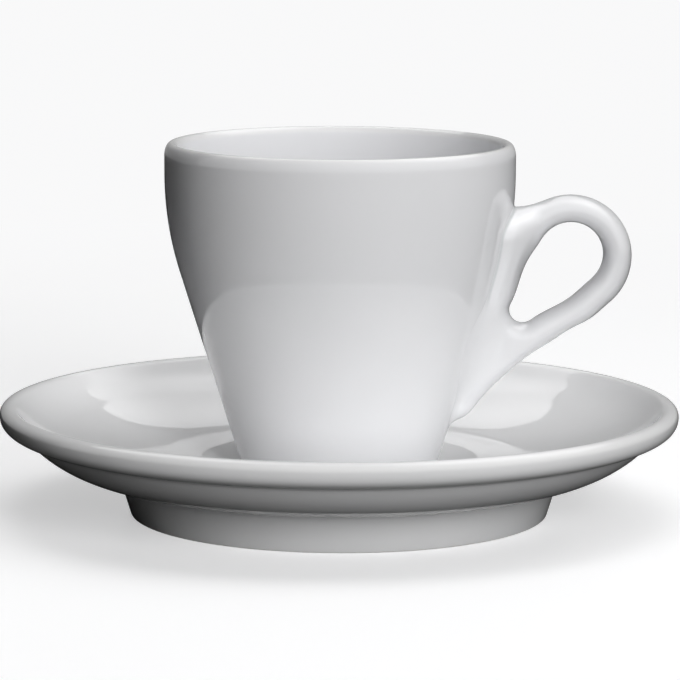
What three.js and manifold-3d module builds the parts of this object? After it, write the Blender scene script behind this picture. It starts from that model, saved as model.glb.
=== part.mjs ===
// Espresso cup and saucer in thick glazed porcelain.
// Millimetres, +Z up. The origin is on the table, under the middle of the saucer's foot ring.
// The cup stands in the saucer's well, and its handle points along +X.
import * as THREE from "three";
import { LoftGeometry } from "three/addons/geometries/LoftGeometry.js";
import { mergeVertices } from "three/addons/utils/BufferGeometryUtils.js";
import Module from "manifold-3d";

// Saucer: rim
const SAUCER_DIAMETER = 120;
const SAUCER_HEIGHT = 19.6;
const RIM_LIP_WIDTH = 3.4; // thickness of the rounded edge
const RIM_CROWN = 1.5; // from the widest point of the rim up to its top
const RIM_CROWN_END_DEG = 139; // the rounded edge runs into its inner flank at this angle
const RIM_FLANK_INSET = 6.3; // the flank meets the dish this far in from the edge
const RIM_FLANK_DROP = 4; // and this far below the rim's top
const RIM_ROLL_WIDTH = 6; // the rolled band under the edge is a part of an ellipse
const RIM_ROLL_DEPTH = 3.5;
const RIM_ROLL_START_DEG = -76; // the band leaves the underside at this angle of the ellipse

// Saucer: foot ring and underside
const FOOT_DIAMETER = 73.8; // outside, where it stands on the table
const FOOT_FLARE = 2.2; // the ring's radius grows by this much up to the bowl
const FOOT_HEIGHT = 7.1;
const FOOT_RING_WIDTH = 3.4;
const FOOT_EDGE_RADIUS = 0.5;
const FOOT_INNER_DRAFT = 1;
const RECESS_DEPTH = 4.4;

// Saucer: dish and well
const DISH_FLOOR_HEIGHT = 9.7;
const DISH_LEDGE_WIDTH = 2; // flat ledge round the well, beyond which the dish curves up
const WELL_DEPTH = 1.4;
const WELL_MARGIN = 7.3; // room round the cup's foot in the well
const WELL_SLOPE_WIDTH = 6; // the side of the well slopes down over this width

// Cup
const CUP_HEIGHT = 57.6;
const CUP_RIM_DIAMETER = 61.7;
const CUP_FOOT_DIAMETER = 34.4;
const CUP_COLLAR_HEIGHT = 5.4; // upright band under the rim
const CUP_SHOULDER_RADIUS = 58; // the wall turns upright on this arc
const CUP_WALL = 3.2;
const CUP_LIP = 2.4;
const CUP_LIP_DROP = 2.3; // the outside starts to round over this far below the top
const CUP_FLOOR_THICKNESS = 5;
const CUP_INNER_BASE_RADIUS = 9;
const CUP_FOOT_RING_WIDTH = 3;
const CUP_FOOT_RECESS = 1.6;
const CUP_FOOT_EDGE_RADIUS = 0.6;

// Handle: a band round a teardrop finger hole, with a root and a tail that run down the wall
const HANDLE_PROJECTION = 20.6; // beyond the cup's rim
const HANDLE_WIDTH = 9.6;
const HANDLE_BAND = 5; // thickness of the band round the hole
const HOLE_NOSE_RADIUS = 5.9; // wide end of the finger hole
const HOLE_NOSE_HEIGHT = 37.9; // above the cup's foot
const HOLE_HEEL_RADIUS = 1.8; // narrow end of the finger hole
const HOLE_HEEL_HEIGHT = 27.7;
const HOLE_SIDE_BULGE = 0.4;
const STRAP_THICKNESS = 4.1; // from the cup's wall to the finger hole
const ROOT_TOP_HEIGHT = 48.5;
const ROOT_HALF_WIDTH = 7;
const ROOT_END_REACH = 0.3; // the root fades out to this thickness at its top and at the tail's tip
const TAIL_TIP_HEIGHT = 8.4;
const TAIL_TIP_HALF_WIDTH = 1.6;
const TAIL_SHOULDER_HEIGHT = 22.3; // the tail's straight edge runs from its tip to here
const TAIL_SHOULDER_REACH = 12; // beyond the wall
const SLIP_GAP = 0.3; // joint of slip between the handle and the wall

// Facets
const ROUND_SEGMENTS = 60;
const ARC_STEPS = 6;
const EDGE_STEPS = 2;
const BAND_SEGMENTS = 40;
const BAND_SIDES = 14;
const MERGE_DISTANCE = 1e-4;

const wasm = await Module();
wasm.setup();

const point = (r, z) => new THREE.Vector2(r, z);

// Points of an elliptical arc about (r, z), from one angle to another, in degrees.
function arc(r, z, halfWidth, halfHeight, fromDeg, toDeg, steps = ARC_STEPS) {
  return Array.from({ length: steps + 1 }, (_, i) => {
    const angle = THREE.MathUtils.degToRad(THREE.MathUtils.lerp(fromDeg, toDeg, i / steps));
    return point(r + halfWidth * Math.cos(angle), z + halfHeight * Math.sin(angle));
  });
}

// Points of a circle's arc that leaves "from" level and reaches "to", which lies further out and higher.
function risingArc(from, to) {
  const across = to.x - from.x;
  const up = to.y - from.y;
  const radius = (across * across + up * up) / (2 * up);
  const sweep = THREE.MathUtils.radToDeg(Math.atan2(across, radius - up));
  return arc(from.x, from.y + radius, radius, radius, -90, -90 + sweep);
}

// A solid of revolution about Z from a profile of (radius, height) points that runs from axis to axis.
function turned(profile) {
  return new THREE.LatheGeometry(profile, ROUND_SEGMENTS).rotateX(Math.PI / 2);
}

function toSolid(geometry) {
  const bare = new THREE.BufferGeometry().setAttribute("position", geometry.getAttribute("position"));
  bare.setIndex(geometry.index);
  const merged = mergeVertices(bare, MERGE_DISTANCE);
  return new wasm.Manifold(
    new wasm.Mesh({
      numProp: 3,
      vertProperties: merged.getAttribute("position").array,
      triVerts: new Uint32Array(merged.index.array),
    }),
  );
}

function toGeometry(solid) {
  const mesh = solid.getMesh();
  const geometry = new THREE.BufferGeometry();
  geometry.setAttribute("position", new THREE.BufferAttribute(mesh.vertProperties, mesh.numProp));
  geometry.setIndex(new THREE.BufferAttribute(mesh.triVerts, 1));
  geometry.computeVertexNormals();
  return geometry;
}

// Saucer

const WELL_RADIUS = CUP_FOOT_DIAMETER / 2 + WELL_MARGIN;
const WELL_FLOOR = DISH_FLOOR_HEIGHT - WELL_DEPTH;

function saucerGeometry() {
  const outer = SAUCER_DIAMETER / 2;
  const widest = SAUCER_HEIGHT - RIM_CROWN; // height of the rim's widest point
  const lip = RIM_LIP_WIDTH / 2;
  const foot = FOOT_DIAMETER / 2;
  const footInside = foot - FOOT_RING_WIDTH;

  const rollAxis = outer - RIM_ROLL_WIDTH;
  const roll = arc(rollAxis, widest, RIM_ROLL_WIDTH, RIM_ROLL_DEPTH, RIM_ROLL_START_DEG, 0);
  const crown = arc(outer - lip, widest, lip, RIM_CROWN, 0, RIM_CROWN_END_DEG);
  const underside = risingArc(point(foot + FOOT_FLARE, FOOT_HEIGHT), roll[0]);
  const flankFoot = point(outer - RIM_FLANK_INSET, SAUCER_HEIGHT - RIM_FLANK_DROP);
  const dish = risingArc(point(WELL_RADIUS + DISH_LEDGE_WIDTH, DISH_FLOOR_HEIGHT), flankFoot);

  const edge = FOOT_EDGE_RADIUS;
  return turned([
    point(0, RECESS_DEPTH),
    point(footInside - FOOT_INNER_DRAFT, RECESS_DEPTH),
    point(footInside, edge),
    point(footInside + edge, 0),
    ...arc(foot - edge, edge, edge, edge, -90, 0, EDGE_STEPS),
    ...underside,
    ...roll.slice(1),
    ...crown.slice(1),
    ...dish.reverse(),
    point(WELL_RADIUS, DISH_FLOOR_HEIGHT),
    point(WELL_RADIUS - WELL_SLOPE_WIDTH, WELL_FLOOR),
    point(0, WELL_FLOOR),
  ]);
}

// Cup

const CUP_BASE = WELL_FLOOR;
const CUP_TOP = CUP_BASE + CUP_HEIGHT;
const SHOULDER_TOP = CUP_TOP - CUP_COLLAR_HEIGHT;

// A cup wall: a straight cone up from (footRadius, footHeight), tangent to the shoulder arc,
// which turns it upright at the collar's radius.
function cupWall(footRadius, footHeight, collarRadius, shoulderRadius) {
  const centre = point(collarRadius - shoulderRadius, SHOULDER_TOP);
  const across = footRadius - centre.x;
  const down = SHOULDER_TOP - footHeight;
  const toTangent = Math.acos(shoulderRadius / Math.hypot(across, down));
  const slant = toTangent - Math.atan2(down, across); // the arc's angle where the cone meets it
  const tangent = point(
    centre.x + shoulderRadius * Math.cos(slant),
    centre.y + shoulderRadius * Math.sin(slant),
  );
  const slope = (tangent.x - footRadius) / (tangent.y - footHeight);
  const slantDeg = THREE.MathUtils.radToDeg(slant);
  const shoulder = arc(centre.x, centre.y, shoulderRadius, shoulderRadius, slantDeg, 0);
  const radiusAt = (z) => {
    if (z <= tangent.y) return footRadius + slope * (z - footHeight);
    if (z >= SHOULDER_TOP) return collarRadius;
    return centre.x + Math.sqrt(shoulderRadius ** 2 - (z - centre.y) ** 2);
  };
  return { slope, shoulder, radiusAt };
}

const OUTER_WALL = cupWall(
  CUP_FOOT_DIAMETER / 2,
  CUP_BASE,
  CUP_RIM_DIAMETER / 2,
  CUP_SHOULDER_RADIUS,
);

function cupBodyGeometry() {
  const foot = CUP_FOOT_DIAMETER / 2;
  const rim = CUP_RIM_DIAMETER / 2;
  const lip = CUP_LIP / 2;
  const floor = CUP_BASE + CUP_FLOOR_THICKNESS;
  const innerFoot = OUTER_WALL.radiusAt(floor) - CUP_WALL;
  const inner = cupWall(innerFoot, floor, rim - CUP_LIP, CUP_SHOULDER_RADIUS - CUP_LIP);

  // Round corner between the floor and the inner wall.
  const corner = CUP_INNER_BASE_RADIUS;
  const lean = Math.atan(inner.slope);
  const cornerAxis = innerFoot + corner * inner.slope - corner / Math.cos(lean);
  const cornerEnd = -THREE.MathUtils.radToDeg(lean);

  const edge = CUP_FOOT_EDGE_RADIUS;
  const recessTop = CUP_BASE + CUP_FOOT_RECESS;
  const recessRadius = foot - CUP_FOOT_RING_WIDTH;
  return turned([
    point(0, recessTop),
    point(recessRadius - CUP_FOOT_RECESS, recessTop),
    point(recessRadius, CUP_BASE),
    point(foot - edge, CUP_BASE),
    point(OUTER_WALL.radiusAt(CUP_BASE + edge), CUP_BASE + edge),
    ...OUTER_WALL.shoulder,
    ...arc(rim - lip, CUP_TOP - CUP_LIP_DROP, lip, CUP_LIP_DROP, 0, 90),
    ...arc(rim - lip, CUP_TOP - lip, lip, lip, 90, 180).slice(1),
    ...inner.shoulder.reverse(),
    ...arc(cornerAxis, floor + corner, corner, corner, cornerEnd, -90),
    point(0, floor),
  ]);
}

// Handle

// Closed middle line of the band, in the plane Y = 0: round the nose and the heel of the finger hole,
// with the two sides between them bulging a little.
function bandPath() {
  const half = HANDLE_BAND / 2;
  const heelHeight = CUP_BASE + HOLE_HEEL_HEIGHT;
  const nose = point(
    CUP_RIM_DIAMETER / 2 + HANDLE_PROJECTION - HANDLE_BAND - HOLE_NOSE_RADIUS,
    CUP_BASE + HOLE_NOSE_HEIGHT,
  );
  const heel = point(
    OUTER_WALL.radiusAt(heelHeight) + STRAP_THICKNESS + HOLE_HEEL_RADIUS,
    heelHeight,
  );
  const noseRadius = HOLE_NOSE_RADIUS + half;
  const heelRadius = HOLE_HEEL_RADIUS + half;
  const along = nose.clone().sub(heel);
  const heading = THREE.MathUtils.radToDeg(along.angle());
  const spread = THREE.MathUtils.radToDeg(Math.acos((heelRadius - noseRadius) / along.length()));
  const turn = heading + spread;
  const noseArc = arc(nose.x, nose.y, noseRadius, noseRadius, heading - spread, turn);
  const heelArc = arc(heel.x, heel.y, heelRadius, heelRadius, turn, heading + 360 - spread);
  const bulged = (a, b) => {
    const across = b.clone().sub(a).normalize();
    return a.clone().lerp(b, 0.5).add(point(across.y, -across.x).multiplyScalar(HOLE_SIDE_BULGE));
  };
  const outline = [
    ...noseArc,
    bulged(noseArc.at(-1), heelArc[0]),
    ...heelArc,
    bulged(heelArc.at(-1), noseArc[0]),
  ];
  return new THREE.CatmullRomCurve3(
    outline.map((p) => new THREE.Vector3(p.x, 0, p.y)),
    true,
    "centripetal",
  );
}

// The band has an oval section, carried round the closed middle line.
function bandGeometry() {
  const path = bandPath();
  const acrossY = new THREE.Vector3(0, 1, 0);
  const sections = Array.from({ length: BAND_SEGMENTS + 1 }, (_, i) => {
    const t = (i % BAND_SEGMENTS) / BAND_SEGMENTS;
    const middle = path.getPointAt(t);
    const outward = acrossY.clone().cross(path.getTangentAt(t));
    return Array.from({ length: BAND_SIDES }, (_, j) => {
      const angle = (2 * Math.PI * j) / BAND_SIDES;
      return middle
        .clone()
        .addScaledVector(outward, (HANDLE_BAND / 2) * Math.cos(angle))
        .addScaledVector(acrossY, (HANDLE_WIDTH / 2) * Math.sin(angle));
    });
  });
  return new LoftGeometry(sections);
}

// The root and tail are half ovals standing on the wall, lofted up it from the tail's tip.
// Each level is [height above the cup's foot, reach beyond the wall, half width].
function rootGeometry() {
  const faded = SLIP_GAP + ROOT_END_REACH;
  const levels = [
    [TAIL_TIP_HEIGHT, faded, TAIL_TIP_HALF_WIDTH],
    [TAIL_SHOULDER_HEIGHT, TAIL_SHOULDER_REACH, HANDLE_WIDTH / 2],
    [HOLE_HEEL_HEIGHT - HOLE_HEEL_RADIUS, STRAP_THICKNESS, ROOT_HALF_WIDTH],
    [HOLE_NOSE_HEIGHT, STRAP_THICKNESS, ROOT_HALF_WIDTH],
    [ROOT_TOP_HEIGHT, faded, HANDLE_WIDTH / 2],
  ];
  const sections = levels.map(([height, reach, halfWidth]) => {
    const z = CUP_BASE + height;
    const onWall = OUTER_WALL.radiusAt(z);
    return arc(onWall, 0, reach, halfWidth, 0, 360, BAND_SIDES)
      .slice(1)
      .map((p) => new THREE.Vector3(p.x, p.y, z));
  });
  return new LoftGeometry(sections, { capStart: true, capEnd: true });
}

// The space that the cup's wall and its slip joint take from the handle.
function wallSpaceGeometry() {
  const foot = CUP_FOOT_DIAMETER / 2 + SLIP_GAP;
  return turned([
    point(0, CUP_BASE),
    point(foot, CUP_BASE),
    ...OUTER_WALL.shoulder.map((p) => point(p.x + SLIP_GAP, p.y)),
    point(CUP_RIM_DIAMETER / 2 + SLIP_GAP, CUP_TOP),
    point(0, CUP_TOP),
  ]);
}

function cupHandleGeometry() {
  const whole = toSolid(bandGeometry()).add(toSolid(rootGeometry()));
  return toGeometry(whole.subtract(toSolid(wallSpaceGeometry())));
}

// Assembly

function piece(name, geometry, color, roughness) {
  const material = new THREE.MeshStandardMaterial({ color, roughness, metalness: 0 });
  const mesh = new THREE.Mesh(geometry, material);
  mesh.name = name;
  return mesh;
}

const cup = new THREE.Group();
cup.add(piece("cup_body", cupBodyGeometry(), 0xf1f1f0, 0.12));
cup.add(piece("cup_handle", cupHandleGeometry(), 0xf2f2f1, 0.12));

const cupAndSaucer = new THREE.Group();
cupAndSaucer.add(piece("saucer", saucerGeometry(), 0xf0f0ef, 0.12));
cupAndSaucer.add(cup);

export default cupAndSaucer;
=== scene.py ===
"""Looks of the espresso cup and saucer: glazed porcelain, turned and cast, under soft studio light.

Shapes are worked out in millimetres from a few sizes and put into the meshes in metres.
+Z is up, the cup stands on the axis, and its handle points along +X.
"""
import itertools
import math

import bpy
import numpy as np
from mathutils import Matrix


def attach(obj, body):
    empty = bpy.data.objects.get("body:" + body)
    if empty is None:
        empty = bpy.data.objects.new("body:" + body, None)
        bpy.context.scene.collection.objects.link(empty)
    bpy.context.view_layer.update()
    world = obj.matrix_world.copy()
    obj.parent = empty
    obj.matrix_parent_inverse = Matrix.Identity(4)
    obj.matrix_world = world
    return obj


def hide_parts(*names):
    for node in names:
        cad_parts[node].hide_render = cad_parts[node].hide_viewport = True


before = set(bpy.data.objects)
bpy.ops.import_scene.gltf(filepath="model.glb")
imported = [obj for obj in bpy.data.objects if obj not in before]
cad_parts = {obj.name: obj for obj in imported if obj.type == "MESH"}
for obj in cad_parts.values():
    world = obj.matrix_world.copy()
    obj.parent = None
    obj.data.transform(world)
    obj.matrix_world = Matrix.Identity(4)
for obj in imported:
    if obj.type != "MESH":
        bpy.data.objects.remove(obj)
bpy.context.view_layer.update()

MM = 0.001

# Saucer, in millimetres and degrees
SAUCER_RADIUS = 60.0
SAUCER_HEIGHT = 19.6
RIM_LIP_WIDTH = 3.4
RIM_CROWN = 1.5
RIM_CROWN_END = 139
RIM_ROLL_WIDTH = 6.0
RIM_ROLL_DEPTH = 3.5
RIM_ROLL_START = -76
RIM_ROLL_FULLNESS = 2.4
RIM_CREASE_EASE = 0.7
RIM_FLANK_INSET = 6.3
RIM_FLANK_DROP = 4.0
RIM_FLANK_EASE = 3.0
FOOT_RADIUS = 36.9
FOOT_FLARE = 2.2
FOOT_HEIGHT = 7.1
FOOT_RING_WIDTH = 3.4
FOOT_INNER_DRAFT = 1.0
RECESS_DEPTH = 4.4
DISH_FLOOR = 9.7
DISH_LEDGE = 2.0
WELL_DEPTH = 1.4
WELL_MARGIN = 7.3
WELL_SLOPE_WIDTH = 6.0

# Cup, in millimetres
CUP_HEIGHT = 57.6
CUP_RIM_RADIUS = 30.85
CUP_FOOT_RADIUS = 17.2
CUP_COLLAR = 5.4
CUP_SHOULDER_RADIUS = 58.0
CUP_WALL = 3.2
CUP_LIP = 2.4
CUP_LIP_DROP = 2.3
CUP_FLOOR = 5.0
CUP_INNER_BASE_RADIUS = 9.0
CUP_FOOT_RING_WIDTH = 3.0
CUP_FOOT_RECESS = 1.6
CUP_BASE = DISH_FLOOR - WELL_DEPTH
CUP_TOP = CUP_BASE + CUP_HEIGHT
SHOULDER_TOP = CUP_TOP - CUP_COLLAR

# Handle, in millimetres
HANDLE_PROJECTION = 20.55
HANDLE_HALF_WIDTH = 4.8
HANDLE_BAND = 5.0
EDGE_ROUND = 2.45
LOOP_RADIUS = 10.75
LOOP_HEIGHT = CUP_BASE + 37.7
LOOP_FOOT_RADIUS = 8.65
LOOP_FOOT_HEIGHT = CUP_BASE + 31.55
LOOP_FOOT_OUT = 6.24
LOOP_BULGE = 0.7
NOSE_RADIUS = 5.75
NOSE_HEIGHT = CUP_BASE + 37.95
HEEL_RADIUS = 2.4
HEEL_HEIGHT = CUP_BASE + 28.1
HOLE_OUTER_BULGE = 0.6
HOLE_WALL_BULGE = 0.65
STRAP_THICKNESS = 3.89
ROOT_TOP_HEIGHT = CUP_BASE + 41.2
ROOT_TOP_RADIUS = 4.55
ROOT_SINK = 1.2
ROOT_HALF_WIDTH = 10.2
ROOT_EDGE_ROUND = 4.6
ROOT_FLARE_REACH = 5.0
ROOT_BLEND = 6.0
TAIL_TIP_HEIGHT = CUP_BASE + 11.9
TAIL_TIP_OUT = -0.45
TAIL_TIP_RADIUS = 2.4
TAIL_TIP_HALF_WIDTH = 3.0
TAIL_BLEND = 4.0
JOINT_BLEND_TOP = 0.5
JOINT_BLEND_TAIL = 5.0
JOINT_BLEND_TIP = 2.2
TIP_BLEND_RISE = 8.0
HEEL_BLEND_FALL = 4.0

# Root of the handle, as shares of the way up from the tail: where it grows rounder and stops widening
ROOT_ROUND_FROM = 0.5
ROOT_FLARE_TOP = 1.1

# Edge of the handle's skin: its dip under the wall, its depth, and where it dips and ends in fillet widths
SKIN_DIP = 0.12
SKIN_DEPTH = 1.0
SKIN_DIP_RANGE = (0.9, 1.25)
SKIN_END = 1.35

# Meshes: lengths in millimetres, turning in radians
CORNER_SOFTNESS = 0.22
BELL_REACH = 4
PROFILE_STEP = 0.04
SAME_POINT = 1e-6
ARC_STEPS = 48
EASE_STEPS = 24
RING_TURN = 0.10
RING_SPACING = 1.6
TURNED_SEGMENTS = 288
SAUCER_RINGS = 300
CUP_RINGS = 260
HANDLE_STEP = 0.34
HANDLE_LOW = (15.03, -14.01, 10.02)
HANDLE_HIGH = (53.5, 14.0, 60.0)
SLIDE_ROUNDS = 6
SLIDE_PROBE = 0.02
SLIDE_LIMIT = 0.2
LEAST_SLOPE = 1e-6
TINY = 1e-9

# Finishes: linear colours, turning per millimetre, lengths in millimetres, noise scales per metre
CUP_GLAZE = (0.93, 0.931, 0.947, 1)
SAUCER_GLAZE = (0.905, 0.906, 0.912, 1)
# Pooled glaze tint for hollows, darker and cooler; in creases it is also painted shade
GLAZE_POOLED_AND_CREASE_SHADE = (0.79, 0.81, 0.82, 1)
GLAZE_THIN = (0.92, 0.915, 0.9, 1)
BARE_BODY = (0.78, 0.765, 0.735, 1)
POOLING_AND_SHADE_TURN = (-0.05, -1.6)
THINNING_TURN = (0.25, 1.6)
CLOUD_SCALE = 45.0
CLOUD_RANGE = (0.25, 0.95)
CLOUD_DEPTH = 0.22
GLOSS_SCALE = 260.0
GLOSS_RANGE = (0.3, 0.75)
GLAZE_ROUGHNESS = (0.02, 0.05)
GLAZE_IOR = 1.6
RIPPLE_SCALE = 90.0
RIPPLE_STRENGTH = 0.08
RIPPLE_DEPTH = 0.4
BARE_ROUGHNESS = 0.7
BARE_HEIGHT = (0.4, 0.28)
BARE_FACING = (-0.75, -0.92)
GLAZE_LINE_SCALE = 400.0
GLAZE_LINE_WANDER = 0.3

# Camera, in millimetres and degrees
CAMERA_PLACE = (0.1, -669.9, 133.1)
CAMERA_PITCH = 8.685
CAMERA_ROLL = 0.22
FOCAL_LENGTH = 202.9
SENSOR_WIDTH = 36.0

# Studio, in metres and degrees
WHITE = (0.945, 0.945, 0.95, 1)
BLACK = (0.02, 0.02, 0.02, 1)
FLOOR_SIZE = 6.0
FLOOR_COLOUR = (0.8, 0.8, 0.805, 1)
FLOOR_BOUNCE = (0.1, 0.1, 0.1, 1)
FLOOR_FAR = (0, 0, 0, 1)
FLOOR_ROUGHNESS = 0.9
FLOOR_LIFT = 0.5
FLOOR_FADE = (0.16, 0.42)
TABLE_CARD_RADIUS = 2.4
TABLE_CARD_HEIGHT = 0.0002
TABLE_CARD_FADE = (0.4, 2.2)
TABLE_CARD_SIDES = 96
WALL_RADIUS = 1.0
WALL_CORNERS = (-75, -27, -15, -9, 0, 15, 75)
WALL_ELEVATIONS = (44, 43.5, 39, 34, 22.3, 36, 40)
WALL_GLOW = 0.35
WORLD_LIGHT = 0.02
VIEW_RANGE = (0.01, 50)


# Profiles

def arc(r, z, half_width, half_height, start, end, fullness=2.0):
    """Points (r, z) of an elliptical arc about a centre, from one angle to another, in degrees.

    With a fullness above 2 its sides are flatter and its corner tighter: the sine and the cosine
    are taken to the power of two over the fullness.
    """
    angle = np.radians(np.linspace(start, end, ARC_STEPS + 1))
    across, up = np.cos(angle), np.sin(angle)
    across, up = (np.sign(a) * np.abs(a) ** (2 / fullness) for a in (across, up))
    return np.stack([r + half_width * across, z + half_height * up], 1)


def rising_arc(start, end):
    """A circle's arc that leaves start level and reaches end.

    Its radius is the square of the chord over twice the rise.
    """
    across, up = end[0] - start[0], end[1] - start[1]
    radius = (across**2 + up**2) / (2 * up)
    sweep = math.degrees(math.atan2(across, radius - up))
    return arc(start[0], start[1] + radius, radius, radius, -90, -90 + sweep)


def along(points):
    """Length along a line of points, from its first point to each."""
    return np.concatenate([[0], np.cumsum(np.linalg.norm(np.diff(points, axis=0), axis=1))])


def eased(first, second, reach):
    """Two lines that meet in a corner, with the corner cut by a parabola.

    It leaves the first line and meets the second one the given reach away from the corner.
    """
    before, after = along(first), along(second)
    first = first[before[-1] - before > reach]
    corner, second = second[0], second[after > reach]
    t = np.linspace(0, 1, EASE_STEPS)[1:-1, None]
    bend = (1 - t) ** 2 * first[-1] + 2 * t * (1 - t) * corner + t**2 * second[0]
    return np.concatenate([first, bend, second])


def glazed_profile(parts, rings):
    """A profile with every corner softened as glaze softens it, and how sharply it turns at each point.

    The joined parts are sampled evenly, and each point becomes the mean of its neighbours under a bell
    curve. The rings then lie closest together where the profile turns most.
    The second result is the turning per millimetre: positive on edges, negative in hollows.
    """
    points = np.concatenate(parts)
    points = points[np.concatenate([[True], np.linalg.norm(np.diff(points, axis=0), axis=1) > SAME_POINT])]
    length = along(points)
    even = np.arange(0, length[-1], PROFILE_STEP)
    r, z = np.interp(even, length, points[:, 0]), np.interp(even, length, points[:, 1])
    reach = int(BELL_REACH * CORNER_SOFTNESS / PROFILE_STEP)
    bell = np.exp(-0.5 * (np.arange(-reach, reach + 1) * PROFILE_STEP / CORNER_SOFTNESS) ** 2)
    bell /= bell.sum()
    r = np.convolve(np.pad(r, reach, mode="reflect", reflect_type="odd"), bell, "valid")
    z = np.convolve(np.pad(z, reach, mode="edge"), bell, "valid")
    heading = np.unwrap(np.arctan2(np.gradient(z), np.gradient(r)))
    turning = np.gradient(heading) / PROFILE_STEP
    weight = np.cumsum(np.abs(turning) * PROFILE_STEP / RING_TURN + PROFILE_STEP / RING_SPACING)
    index = np.arange(len(weight))
    where = np.interp(np.linspace(weight[0], weight[-1], rings), weight, index)
    profile = np.stack([np.interp(where, index, r), np.interp(where, index, z)], 1)
    profile[[0, -1], 0] = 0
    return profile, np.interp(where, index, turning)


def saucer_profile():
    """The saucer from the axis below to the axis above: recess, foot ring, bowl, rolled rim, dish and well.

    Inside its rounded edge the rim has a straight flank, which turns over into the curve of the dish.
    """
    widest = SAUCER_HEIGHT - RIM_CROWN
    lip = RIM_LIP_WIDTH / 2
    inside = FOOT_RADIUS - FOOT_RING_WIDTH
    roll = arc(SAUCER_RADIUS - RIM_ROLL_WIDTH, widest, RIM_ROLL_WIDTH, RIM_ROLL_DEPTH, RIM_ROLL_START, 0,
               RIM_ROLL_FULLNESS)
    crown = arc(SAUCER_RADIUS - lip, widest, lip, RIM_CROWN, 0, RIM_CROWN_END)
    underside = rising_arc((FOOT_RADIUS + FOOT_FLARE, FOOT_HEIGHT), roll[0])
    knee = np.array([SAUCER_RADIUS - RIM_FLANK_INSET, SAUCER_HEIGHT - RIM_FLANK_DROP])
    flank = np.linspace(crown[-1], knee, ARC_STEPS)
    well = CUP_FOOT_RADIUS + WELL_MARGIN
    dish = rising_arc((well + DISH_LEDGE, DISH_FLOOR), knee)[::-1]
    recess = [[0, RECESS_DEPTH], [inside - FOOT_INNER_DRAFT, RECESS_DEPTH]]
    return [
        np.array(recess + [[inside, 0], [FOOT_RADIUS, 0]]),
        eased(underside, roll, RIM_CREASE_EASE),
        crown,
        eased(flank, dish, RIM_FLANK_EASE),
        np.array([[well, DISH_FLOOR], [well - WELL_SLOPE_WIDTH, CUP_BASE], [0, CUP_BASE]]),
    ]


class CupWall:
    """A cup wall: a cone up from its foot, tangent to a shoulder arc that turns it upright at the collar."""

    def __init__(self, foot_radius, foot_height, collar_radius, shoulder_radius):
        self.foot_radius, self.foot_height = foot_radius, foot_height
        self.shoulder_radius = shoulder_radius
        self.centre = collar_radius - shoulder_radius
        across, down = foot_radius - self.centre, SHOULDER_TOP - foot_height
        self.slant = math.acos(shoulder_radius / math.hypot(across, down)) - math.atan2(down, across)
        self.tangent = SHOULDER_TOP + shoulder_radius * math.sin(self.slant)
        self.slope = -math.tan(self.slant)

    def radius(self, z):
        """Radius at each height: cone, then arc, then upright."""
        cone = self.foot_radius + self.slope * (z - self.foot_height)
        below = np.clip(SHOULDER_TOP - z, 0, None)
        shoulder = self.centre + np.sqrt(np.clip(self.shoulder_radius**2 - below**2, 0, None))
        return np.where(z <= self.tangent, cone, shoulder)

    def shoulder(self):
        """Points of the shoulder arc from the cone to the collar."""
        return arc(self.centre, SHOULDER_TOP, self.shoulder_radius, self.shoulder_radius,
                   math.degrees(self.slant), 0)


OUTER_WALL = CupWall(CUP_FOOT_RADIUS, CUP_BASE, CUP_RIM_RADIUS, CUP_SHOULDER_RADIUS)


def cup_profile():
    """The cup from the axis below to the axis inside: foot, cone, shoulder, lip, inner wall and floor."""
    lip = CUP_LIP / 2
    floor = CUP_BASE + CUP_FLOOR
    inner_foot = float(OUTER_WALL.radius(floor)) - CUP_WALL
    inner = CupWall(inner_foot, floor, CUP_RIM_RADIUS - CUP_LIP, CUP_SHOULDER_RADIUS - CUP_LIP)
    corner = CUP_INNER_BASE_RADIUS
    lean = math.atan(inner.slope)
    axis = inner_foot + corner * inner.slope - corner / math.cos(lean)
    ring = CUP_FOOT_RADIUS - CUP_FOOT_RING_WIDTH
    top = CUP_BASE + CUP_FOOT_RECESS
    recess = [[0, top], [ring - CUP_FOOT_RECESS, top]]
    return [
        np.array(recess + [[ring, CUP_BASE], [CUP_FOOT_RADIUS, CUP_BASE]]),
        OUTER_WALL.shoulder(),
        arc(CUP_RIM_RADIUS - lip, CUP_TOP - CUP_LIP_DROP, lip, CUP_LIP_DROP, 0, 90),
        arc(CUP_RIM_RADIUS - lip, CUP_TOP - lip, lip, lip, 90, 180),
        inner.shoulder()[::-1],
        arc(axis, floor + corner, corner, corner, -math.degrees(lean), -90),
        np.array([[0, floor]]),
    ]


# Meshes

def put_mesh(name, points, faces, attributes):
    """A smooth-shaded object from points in millimetres, its faces, and float attributes of its points."""
    mesh = bpy.data.meshes.new(name)
    mesh.from_pydata((points * MM).tolist(), [], faces)
    mesh.polygons.foreach_set("use_smooth", np.ones(len(mesh.polygons), bool))
    for key, values in attributes.items():
        layer = mesh.attributes.new(key, "FLOAT", "POINT")
        layer.data.foreach_set("value", np.ascontiguousarray(values, np.float32))
    mesh.update()
    piece = bpy.data.objects.new(name, mesh)
    bpy.context.scene.collection.objects.link(piece)
    return piece


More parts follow.
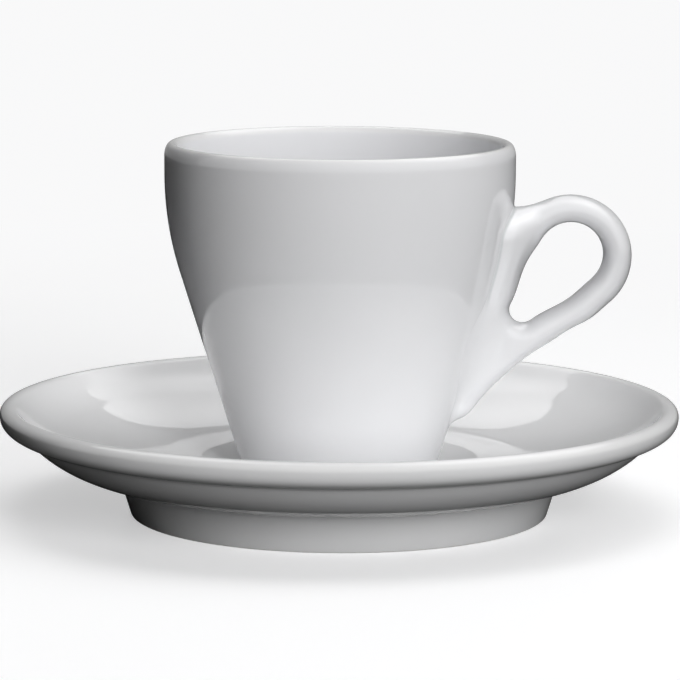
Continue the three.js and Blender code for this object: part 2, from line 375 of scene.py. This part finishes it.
def turned(name, parts, rings):
    """A solid of revolution: each profile point (r, z) goes round to (r cos a, r sin a, z).

    The two end points lie on the axis and are one vertex each, joined to the next ring by triangles.
    """
    profile, turning = glazed_profile(parts, rings)
    angle = np.linspace(0, 2 * np.pi, TURNED_SEGMENTS, endpoint=False)
    r, z = profile[1:-1, :1], profile[1:-1, 1:]
    body = np.stack([r * np.cos(angle), r * np.sin(angle), z + 0 * angle], 2).reshape(-1, 3)
    bottom, top = [0, 0, profile[0, 1]], [0, 0, profile[-1, 1]]
    points = np.concatenate([body, [bottom, top]])
    ring, here = np.meshgrid(np.arange(rings - 3), np.arange(TURNED_SEGMENTS), indexing="ij")
    after = (here + 1) % TURNED_SEGMENTS
    low, high = ring * TURNED_SEGMENTS, (ring + 1) * TURNED_SEGMENTS
    quads = np.stack([low + here, low + after, high + after, high + here], 2).reshape(-1, 4)
    here = np.arange(TURNED_SEGMENTS)
    after = (here + 1) % TURNED_SEGMENTS
    last = (rings - 3) * TURNED_SEGMENTS
    fan = np.full(TURNED_SEGMENTS, len(body))
    below, above = np.stack([after, here, fan], 1), np.stack([last + here, last + after, fan + 1], 1)
    # The profile's turning sets the pooled tint, so its hollows also get painted shade
    pooling_and_shade = np.concatenate([np.repeat(turning[1:-1], TURNED_SEGMENTS), turning[[0, -1]]])
    return put_mesh(name, points, quads.tolist() + below.tolist() + above.tolist(), {"turning": pooling_and_shade})


# Handle

def beside_wall(height, out):
    """The point (x, z) at a height that lies the given distance out from the cup's wall."""
    return np.array([float(OUTER_WALL.radius(height)) + out, height])


LOOP = np.array([CUP_RIM_RADIUS + HANDLE_PROJECTION - LOOP_RADIUS, LOOP_HEIGHT])
LOOP_FOOT = beside_wall(LOOP_FOOT_HEIGHT, LOOP_FOOT_OUT)
NOSE = np.array([CUP_RIM_RADIUS + HANDLE_PROJECTION - HANDLE_BAND - NOSE_RADIUS, NOSE_HEIGHT])
HEEL = beside_wall(HEEL_HEIGHT, STRAP_THICKNESS + HEEL_RADIUS)
ROOT_TOP = beside_wall(ROOT_TOP_HEIGHT, -ROOT_SINK)
TAIL_TIP = beside_wall(TAIL_TIP_HEIGHT, TAIL_TIP_OUT)


def smooth_min(a, b, blend):
    """The smaller of two distances, with the corner between them filleted over the blend distance."""
    near = np.clip(blend - np.abs(a - b), 0, None) / blend
    return np.minimum(a, b) - near**2 * blend / 4


def smooth_step(low, high, value):
    """0 below low, 1 above high, and a smooth rise between them: three t squared less two t cubed."""
    t = np.clip((value - low) / (high - low), 0, 1)
    return t * t * (3 - 2 * t)


def taper(x, z, start, start_radius, end, end_radius, left_bulge=0.0, right_bulge=0.0):
    """Signed distance in the XZ plane to the hull of two circles, negative inside.

    Beside the straight flanks it is the distance to the nearer flank, and past them to the nearer circle.
    Each flank swells by its own bulge halfway along. Left and right are as seen on the way from start to end.
    """
    px, pz = x - start[0], z - start[1]
    ax, az = end - start
    length2 = ax * ax + az * az
    right = px * az - pz * ax
    qx, qz = np.abs(right) / length2, (px * ax + pz * az) / length2
    drop = start_radius - end_radius
    run = math.sqrt(length2 - drop * drop)
    side = run * qz - drop * qx
    flank = run * qx + drop * qz - start_radius
    at_start = np.sqrt(length2 * (qx**2 + qz**2)) - start_radius
    at_end = np.sqrt(length2 * (qx**2 + (qz - 1) ** 2)) - end_radius
    distance = np.where(side < 0, at_start, np.where(side > run, at_end, flank))
    bulge = np.where(right > 0, right_bulge, left_bulge)
    return distance - bulge * np.sin(np.pi * np.clip(qz, 0, 1)) ** 2


def handle_outline(x, z):
    """Signed distance in the XZ plane to the handle's outer edge: loop, tail and root, blended."""
    loop = taper(x, z, LOOP, LOOP_RADIUS, LOOP_FOOT, LOOP_FOOT_RADIUS, LOOP_BULGE, 0)
    tail = taper(x, z, LOOP_FOOT, LOOP_FOOT_RADIUS, TAIL_TIP, TAIL_TIP_RADIUS)
    root = taper(x, z, ROOT_TOP, ROOT_TOP_RADIUS, TAIL_TIP, TAIL_TIP_RADIUS)
    return smooth_min(smooth_min(loop, root, ROOT_BLEND), tail, TAIL_BLEND)


def handle_distance(x, y, z):
    """About the distance to the handle by itself, negative inside.

    Across Y the section is half an oval at each edge. It is as wide as the band, and near the wall
    it flares out to a width that grows steadily from the tip of the tail to the top of the root.
    """
    hole = taper(x, z, NOSE, NOSE_RADIUS, HEEL, HEEL_RADIUS, HOLE_OUTER_BULGE, HOLE_WALL_BULGE)
    near_wall = 1 - smooth_step(0, ROOT_FLARE_REACH, x - OUTER_WALL.radius(z))
    up = np.clip((z - TAIL_TIP_HEIGHT) / (ROOT_TOP_HEIGHT - TAIL_TIP_HEIGHT), 0, ROOT_FLARE_TOP)
    foot = TAIL_TIP_HALF_WIDTH + (ROOT_HALF_WIDTH - TAIL_TIP_HALF_WIDTH) * up
    half = HANDLE_HALF_WIDTH + (foot - HANDLE_HALF_WIDTH) * near_wall
    at_root = near_wall * smooth_step(ROOT_ROUND_FROM, 1, up)
    outer_round = EDGE_ROUND + (ROOT_EDGE_ROUND - EDGE_ROUND) * at_root
    from_edge = np.minimum(-handle_outline(x, z) / outer_round, hole / EDGE_ROUND)
    in_plane = np.clip(1 - from_edge, 0, None)
    across = np.abs(y) / half
    q = np.sqrt(in_plane**2 + across**2) + TINY
    slope = np.sqrt((in_plane / EDGE_ROUND) ** 2 + (across / half) ** 2) + TINY
    return (q - 1) * q / slope


def wall_distance(x, y, z):
    """Distance out from the cup's outer wall, negative inside it."""
    return (np.hypot(x, y) - OUTER_WALL.radius(z)) * math.cos(math.atan(OUTER_WALL.slope))


def joint_blend(z):
    """Fillet between handle and wall at each height: tight beside the root and at the tip, wide between."""
    rise = smooth_step(TAIL_TIP_HEIGHT, TAIL_TIP_HEIGHT + TIP_BLEND_RISE, z)
    fall = smooth_step(HEEL_HEIGHT - HEEL_BLEND_FALL, HEEL_HEIGHT + HEEL_BLEND_FALL, z)
    tail = JOINT_BLEND_TIP + (JOINT_BLEND_TAIL - JOINT_BLEND_TIP) * rise
    return tail + (JOINT_BLEND_TOP - JOINT_BLEND_TAIL) * fall


def beyond_skin(x, y, z):
    """Positive outside the handle's skin and negative inside it.

    The skin is the blend of handle and wall. Past the fillet it dips under the wall's surface,
    and it ends there, a little way in and a little way down.
    """
    handle, wall = handle_distance(x, y, z), wall_distance(x, y, z)
    blend = joint_blend(z)
    dip = SKIN_DIP * smooth_step(SKIN_DIP_RANGE[0] * blend, SKIN_DIP_RANGE[1] * blend, handle)
    skin = smooth_min(handle, wall, blend) + dip
    return np.maximum(skin, np.maximum(-SKIN_DEPTH - wall, handle - SKIN_END * blend))


def level_skin(field, low, high, step):
    """The surface where a field is zero, as points and faces.

    The field is sampled on a grid. Each cell that the surface crosses gets one point, the mean of the
    crossings on its edges, and each crossed edge joins the points of the four cells round it.
    The points then slide along the field's slope until they lie on the surface itself.
    """
    axes = [np.arange(a, b, step) for a, b in zip(low, high)]
    grid = np.stack(np.meshgrid(*axes, indexing="ij"), -1)
    value = field(grid[..., 0], grid[..., 1], grid[..., 2])
    cells = tuple(n - 1 for n in value.shape)
    total, count = np.zeros(cells + (3,)), np.zeros(cells)
    corners = list(itertools.product((0, 1), repeat=2))
    edges = []
    for axis in range(3):
        others = [a for a in range(3) if a != axis]
        near = np.take(value, np.arange(cells[axis]), axis)
        far = np.take(value, np.arange(1, cells[axis] + 1), axis)
        crossed = (near < 0) != (far < 0)
        share = np.where(crossed, near / np.where(crossed, near - far, 1), 0)
        point = np.take(grid, np.arange(cells[axis]), axis).copy()
        point[..., axis] += share * step
        point *= crossed[..., None]
        for shift in corners:
            index = [slice(None)] * 3
            for other, move in zip(others, shift):
                index[other] = slice(move, move + cells[other])
            total += point[tuple(index)]
            count += crossed[tuple(index)]
        edges.append((crossed, near))
    active = count > 0
    points = total[active] / count[active][:, None]
    number = np.full(cells, -1)
    number[active] = np.arange(len(points))
    faces = []
    for axis, (crossed, near) in enumerate(edges):
        others = [a for a in range(3) if a != axis]
        inner = [slice(None)] * 3
        for other in others:
            inner[other] = slice(1, cells[other])
        hit = crossed[tuple(inner)]
        inside = near[tuple(inner)][hit] < 0
        around = []
        for shift in ((1, 1), (0, 1), (0, 0), (1, 0)):
            index = [slice(None)] * 3
            for other, back in zip(others, shift):
                index[other] = slice(1 - back, cells[other] - back)
            around.append(number[tuple(index)][hit])
        quad = np.stack(around, 1)
        turn = inside if axis != 1 else ~inside
        faces.append(np.where(turn[:, None], quad, quad[:, ::-1]))
    faces = np.concatenate(faces)
    for _ in range(SLIDE_ROUNDS):
        points = points - from_surface(field, points, SLIDE_PROBE)
    return points, faces


def from_surface(field, points, step):
    """The way to each point from a field's zero surface: value times slope over slope squared, limited."""
    x, y, z = points.T
    value = field(x, y, z)
    slope = np.stack([field(x + step, y, z) - field(x - step, y, z),
                      field(x, y + step, z) - field(x, y - step, z),
                      field(x, y, z + step) - field(x, y, z - step)], 1) / (2 * step)
    move = value[:, None] * slope / (np.sum(slope**2, 1, keepdims=True) + LEAST_SLOPE)
    length = np.linalg.norm(move, axis=1, keepdims=True)
    return move * np.minimum(1, SLIDE_LIMIT / (length + TINY))


def cup_handle():
    """The cast handle, feathered onto the wall: the zero surface of its field."""
    points, faces = level_skin(beyond_skin, HANDLE_LOW, HANDLE_HIGH, HANDLE_STEP)
    x, y, z = points.T
    blend = joint_blend(z)
    apart = np.abs(handle_distance(x, y, z) - wall_distance(x, y, z)) / blend
    # Near the joint the turning is made up from how close handle and wall are, so the pooled tint paints a
    # shade line along the crease
    return put_mesh("handle_glazed", points, faces.tolist(), {"turning": -np.clip(1 - apart, 0, 1) / blend})


saucer = turned("saucer_glazed", saucer_profile(), SAUCER_RINGS)
cup = turned("cup_glazed", cup_profile(), CUP_RINGS)
handle = cup_handle()


# Finishes

def node_group(name, inputs, outputs):
    """A shader node group with named sockets, its input node and its output node."""
    group = bpy.data.node_groups.new(name, "ShaderNodeTree")
    for socket, kind in inputs:
        group.interface.new_socket(socket, in_out="INPUT", socket_type="NodeSocket" + kind)
    for socket, kind in outputs:
        group.interface.new_socket(socket, in_out="OUTPUT", socket_type="NodeSocket" + kind)
    return group, group.nodes.new("NodeGroupInput"), group.nodes.new("NodeGroupOutput")


def add(tree, kind, inputs=None, **settings):
    """A node with its settings; each input takes a value, or a link if it is given another node's output."""
    node = tree.nodes.new(kind)
    for key, value in settings.items():
        setattr(node, key, value)
    for key, value in (inputs or {}).items():
        if isinstance(value, bpy.types.NodeSocket):
            tree.links.new(value, node.inputs[key])
        else:
            node.inputs[key].default_value = value
    return node


def maths(tree, operation, *values):
    """Result of a Math node; each value is a number or another node's output."""
    return add(tree, "ShaderNodeMath", dict(enumerate(values)), operation=operation).outputs[0]


def object_place(tree):
    """Where a point lies in its object, in metres."""
    return add(tree, "ShaderNodeTexCoord").outputs["Object"]


def noise(tree, scale, detail):
    """Soft noise fixed to the object, about a half on average."""
    node = add(tree, "ShaderNodeTexNoise", {"Vector": object_place(tree), "Scale": scale, "Detail": detail})
    return node.outputs["Fac"]


def upward(tree, vector):
    """The Z part of a vector."""
    return add(tree, "ShaderNodeSeparateXYZ", {0: vector}).outputs["Z"]


def ramp(tree, value, low, high):
    """0 below low, 1 above high, and a smooth rise between them."""
    node = add(tree, "ShaderNodeMapRange", {"Value": value, "From Min": low, "From Max": high},
               interpolation_type="SMOOTHSTEP")
    return node.outputs["Result"]


def between(tree, share, first, second):
    """The first number where the share is 0, and the second where it is 1."""
    node = add(tree, "ShaderNodeMapRange", {"Value": share, "To Min": first, "To Max": second})
    return node.outputs["Result"]


def blend_colour(tree, share, first, second):
    """The first colour where the share is 0, and the second where it is 1."""
    node = add(tree, "ShaderNodeMix", data_type="RGBA")
    for socket, value in ((node.inputs[0], share), (node.inputs[6], first), (node.inputs[7], second)):
        if isinstance(value, bpy.types.NodeSocket):
            tree.links.new(value, socket)
        else:
            socket.default_value = value
    return node.outputs[2]


def glaze_tone_group():
    """Colour of the glaze: deeper where it pools in hollows, a tint that is also painted shade in creases,
    warmer where it thins on edges, and clouded.
    """
    group, given, result = node_group(
        "glaze_tone",
        [("Turning", "Float"), ("Clear", "Color"), ("Pooled_and_shade", "Color"), ("Thin", "Color")],
        [("Color", "Color")])
    hollow = ramp(group, given.outputs["Turning"], *POOLING_AND_SHADE_TURN)
    edge = ramp(group, given.outputs["Turning"], *THINNING_TURN)
    cloud = ramp(group, noise(group, CLOUD_SCALE, detail=2.0), *CLOUD_RANGE)
    # The deeper of the pooled tint, which is partly painted shade in creases, and the random cloud
    tint_and_shade = maths(group, "MAXIMUM", hollow, maths(group, "MULTIPLY", cloud, CLOUD_DEPTH))
    colour = blend_colour(group, tint_and_shade, given.outputs["Clear"], given.outputs["Pooled_and_shade"])
    colour = blend_colour(group, edge, colour, given.outputs["Thin"])
    group.links.new(colour, result.inputs["Color"])
    return group


def glaze_skin_group():
    """Gloss of the glaze, a little uneven, and the height of its slow ripples."""
    group, given, result = node_group(
        "glaze_skin", [("Smooth", "Float"), ("Dull", "Float")], [("Roughness", "Float"), ("Height", "Float")])
    gloss = add(group, "ShaderNodeMapRange", {
        "Value": noise(group, GLOSS_SCALE, detail=3.0),
        "From Min": GLOSS_RANGE[0], "From Max": GLOSS_RANGE[1],
        "To Min": given.outputs["Smooth"], "To Max": given.outputs["Dull"]})
    group.links.new(gloss.outputs["Result"], result.inputs["Roughness"])
    group.links.new(noise(group, RIPPLE_SCALE, detail=1.0), result.inputs["Height"])
    return group


def bare_ring_group():
    """1 on the unglazed standing ring: near the given height and facing down, with a ragged glaze line."""
    group, given, result = node_group("bare_ring", [("Height", "Float")], [("Mask", "Float")])
    above = maths(group, "SUBTRACT", upward(group, object_place(group)), given.outputs["Height"])
    wander = maths(group, "MULTIPLY", noise(group, GLAZE_LINE_SCALE, detail=2.0), GLAZE_LINE_WANDER * MM)
    low = ramp(group, maths(group, "ADD", above, wander), BARE_HEIGHT[0] * MM, BARE_HEIGHT[1] * MM)
    normal = add(group, "ShaderNodeNewGeometry").outputs["Normal"]
    down = ramp(group, upward(group, normal), *BARE_FACING)
    group.links.new(maths(group, "MULTIPLY", low, down), result.inputs["Mask"])
    return group


GLAZE_TONE = glaze_tone_group()
GLAZE_SKIN = glaze_skin_group()
BARE_RING = bare_ring_group()


def porcelain(name, colour, ring_height):
    """Clear glaze over white porcelain, bare on the standing ring at the given height in millimetres."""
    material = bpy.data.materials.new(name)
    material.use_nodes = True
    tree = material.node_tree
    shader = tree.nodes["Principled BSDF"]
    turning = add(tree, "ShaderNodeAttribute", attribute_name="turning").outputs["Fac"]
    colours = {"Clear": colour, "Pooled_and_shade": GLAZE_POOLED_AND_CREASE_SHADE, "Thin": GLAZE_THIN}
    tone = add(tree, "ShaderNodeGroup", {"Turning": turning, **colours}, node_tree=GLAZE_TONE)
    smooth, dull = GLAZE_ROUGHNESS
    skin = add(tree, "ShaderNodeGroup", {"Smooth": smooth, "Dull": dull}, node_tree=GLAZE_SKIN)
    bare = add(tree, "ShaderNodeGroup", {"Height": ring_height * MM}, node_tree=BARE_RING).outputs["Mask"]
    base = blend_colour(tree, bare, tone.outputs["Color"], BARE_BODY)
    rough = add(tree, "ShaderNodeMix", {0: bare, 2: skin.outputs["Roughness"], 3: BARE_ROUGHNESS})
    bump = add(tree, "ShaderNodeBump", {
        "Height": skin.outputs["Height"], "Strength": RIPPLE_STRENGTH, "Distance": RIPPLE_DEPTH * MM})
    tree.links.new(base, shader.inputs["Base Color"])
    tree.links.new(rough.outputs[0], shader.inputs["Roughness"])
    tree.links.new(bump.outputs["Normal"], shader.inputs["Normal"])
    shader.inputs["IOR"].default_value = GLAZE_IOR
    return material


for piece, body, node, colour, ring_height in (
        (saucer, "saucer", "saucer", SAUCER_GLAZE, 0.0),
        (cup, "cup", "cup_body", CUP_GLAZE, CUP_BASE),
        (handle, "cup", "cup_handle", CUP_GLAZE, CUP_BASE)):
    piece.data.materials.append(porcelain(piece.name, colour, ring_height))
    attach(piece, body)
    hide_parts(node)


# Camera

def photo_camera():
    """The photograph's view: from in front and above the rim, turned down to the middle of the cup."""
    lens = bpy.data.cameras.new("photo_camera")
    lens.sensor_width = SENSOR_WIDTH
    lens.lens = FOCAL_LENGTH
    lens.clip_start, lens.clip_end = VIEW_RANGE
    camera = bpy.data.objects.new("photo_camera", lens)
    camera.rotation_mode = "ZXY"
    camera.rotation_euler = (math.radians(90 - CAMERA_PITCH), 0, math.radians(CAMERA_ROLL))
    camera.location = np.array(CAMERA_PLACE) * MM
    bpy.context.scene.collection.objects.link(camera)
    bpy.context.scene.camera = camera


photo_camera()
bpy.context.scene.view_settings.view_transform = "Standard"


# Studio

def seen_directly(tree):
    """1 for what the camera sees, also by way of a mirror or glass, and 0 for light that only bounces."""
    path = add(tree, "ShaderNodeLightPath").outputs
    either = maths(tree, "MAXIMUM", path["Is Camera Ray"], path["Is Glossy Ray"])
    return maths(tree, "MAXIMUM", either, path["Is Transmission Ray"])


def from_middle(tree, start, end):
    """0 near the middle of the object and 1 far from it, with a smooth rise between two distances."""
    away = add(tree, "ShaderNodeVectorMath", {0: object_place(tree)}, operation="LENGTH").outputs["Value"]
    return ramp(tree, away, start, end)


def matt_paint(name, roughness=1.0):
    """A material without gloss that can glow white, its node tree and its shader."""
    material = bpy.data.materials.new(name)
    material.use_nodes = True
    shader = material.node_tree.nodes["Principled BSDF"]
    shader.inputs["Base Color"].default_value = BLACK
    shader.inputs["Roughness"].default_value = roughness
    shader.inputs["Specular IOR Level"].default_value = 0.0
    shader.inputs["Emission Color"].default_value = WHITE
    return material, material.node_tree, shader


def staged(name, points, faces, material):
    """A surface of the studio, from points in metres and its faces."""
    mesh = bpy.data.meshes.new(name)
    mesh.from_pydata(points, [], faces)
    mesh.materials.append(material)
    surface = bpy.data.objects.new(name, mesh)
    bpy.context.scene.collection.objects.link(surface)
    return surface


def only_mirrored(card):
    """Leave a card to be seen by nothing but the glaze's reflections."""
    card.visible_camera = False
    card.visible_diffuse = False
    card.visible_shadow = False
    card.visible_transmission = False


def floor():
    """A wide pale floor under the foot ring, which takes shadows near the object and is white far off."""
    material, tree, shader = matt_paint("floor", FLOOR_ROUGHNESS)
    seen = seen_directly(tree)
    far = from_middle(tree, *FLOOR_FADE)
    near_colour = blend_colour(tree, seen, FLOOR_BOUNCE, FLOOR_COLOUR)
    tree.links.new(blend_colour(tree, far, near_colour, FLOOR_FAR), shader.inputs["Base Color"])
    lift = between(tree, far, FLOOR_LIFT, 1.0)
    tree.links.new(maths(tree, "MULTIPLY", lift, seen), shader.inputs["Emission Strength"])
    half = FLOOR_SIZE / 2
    corners = [(-half, -half, 0), (half, -half, 0), (half, half, 0), (-half, half, 0)]
    staged("floor", corners, [(0, 1, 2, 3)], material)


def dark_table_card():
    """A round card on the floor that only the glaze reflects.

    It is dark near the saucer, so that the saucer shows on the cup, and goes over into white further off.
    """
    material, tree, shader = matt_paint("dark_table_card")
    tree.links.new(from_middle(tree, *TABLE_CARD_FADE), shader.inputs["Emission Strength"])
    angle = np.linspace(0, 2 * np.pi, TABLE_CARD_SIDES, endpoint=False)
    x, y = TABLE_CARD_RADIUS * np.cos(angle), TABLE_CARD_RADIUS * np.sin(angle)
    points = np.stack([x, y, np.full(TABLE_CARD_SIDES, TABLE_CARD_HEIGHT)], 1)
    only_mirrored(staged("dark_table_card", points.tolist(), [range(TABLE_CARD_SIDES)], material))


def dark_wall_card():
    """A dark curved wall behind the object that only the glaze reflects, with a notch that lets the light in.

    Its top edge runs evenly between corners, each at an angle from the back and at an elevation.
    """
    material, _, shader = matt_paint("dark_wall_card")
    shader.inputs["Emission Strength"].default_value = WALL_GLOW
    around = np.arange(WALL_CORNERS[0], WALL_CORNERS[-1] + 1)
    top = WALL_RADIUS * np.tan(np.radians(np.interp(around, WALL_CORNERS, WALL_ELEVATIONS)))
    x, y = WALL_RADIUS * np.sin(np.radians(around)), WALL_RADIUS * np.cos(np.radians(around))
    points = np.concatenate([np.stack([x, y, 0 * top], 1), np.stack([x, y, top], 1)])
    here = np.arange(len(around) - 1)
    above = here + len(around)
    faces = np.stack([here, here + 1, above + 1, above], 1)
    only_mirrored(staged("dark_wall_card", points.tolist(), faces.tolist(), material))


def softbox(name, place, size, power, edge, lights=True, mirrored=True):
    """A soft rectangular lamp that faces the cup.

    Its place is an azimuth, 0 on the camera's side and 90 on the handle's, an elevation and a distance.
    Its face is even in the middle and falls off over the given share of it towards the edges.
    It may be one that lights the glaze without being mirrored in it, or one that is only mirrored.
    """
    azimuth, elevation, distance = place
    lamp = bpy.data.lights.new(name, "AREA")
    lamp.shape = "RECTANGLE"
    lamp.size, lamp.size_y = size
    lamp.energy = power
    lamp.use_nodes = True
    tree = lamp.node_tree
    spot = add(tree, "ShaderNodeNewGeometry").outputs["Parametric"]
    sides = add(tree, "ShaderNodeSeparateXYZ", {0: spot}).outputs
    off_middle = [maths(tree, "ABSOLUTE", maths(tree, "SUBTRACT", sides[side], 0.5)) for side in ("X", "Y")]
    across, up = (ramp(tree, off, 0.5, 0.5 - edge) for off in off_middle)
    tree.links.new(maths(tree, "MULTIPLY", across, up), tree.nodes["Emission"].inputs["Strength"])
    box = bpy.data.objects.new(name, lamp)
    a, e = math.radians(azimuth), math.radians(elevation)
    away = np.array([math.sin(a) * math.cos(e), -math.cos(a) * math.cos(e), math.sin(e)])
    box.location = away * distance
    box.rotation_euler = (math.radians(90 - elevation), 0, a)
    box.visible_camera = False
    box.visible_diffuse, box.visible_glossy = lights, mirrored
    bpy.context.scene.collection.objects.link(box)


def white_world():
    """A white surround to look at, which lights the object only faintly."""
    world = bpy.data.worlds.new("studio")
    world.use_nodes = True
    tree = world.node_tree
    background = tree.nodes["Background"]
    background.inputs["Color"].default_value = WHITE
    level = between(tree, seen_directly(tree), WORLD_LIGHT, 1.0)
    tree.links.new(level, background.inputs["Strength"])
    bpy.context.scene.world = world


floor()
dark_table_card()
dark_wall_card()
softbox("key", place=(21, 17, 1.1), size=(0.4, 0.68), power=12.2, edge=0.2, mirrored=False)
softbox("overhead", place=(105, 58, 1.1), size=(1.2, 1.2), power=5.8, edge=0.3)
softbox("top", place=(0, 89, 1.1), size=(0.8, 0.8), power=4.6, edge=0.3, mirrored=False)
softbox("back", place=(185, 52, 2.0), size=(2.2, 2.2), power=9.2, edge=0.35, mirrored=False)
softbox("rear", place=(180, 6, 1.6), size=(0.5, 0.3), power=16.0, edge=0.3, mirrored=False)
softbox("back_card", place=(185, 50, 2.0), size=(3.6, 2.3), power=15.0, edge=0.25, lights=False)
softbox("high_card", place=(185, 65, 2.0), size=(3.0, 1.6), power=14.2, edge=0.3, lights=False)
white_world()
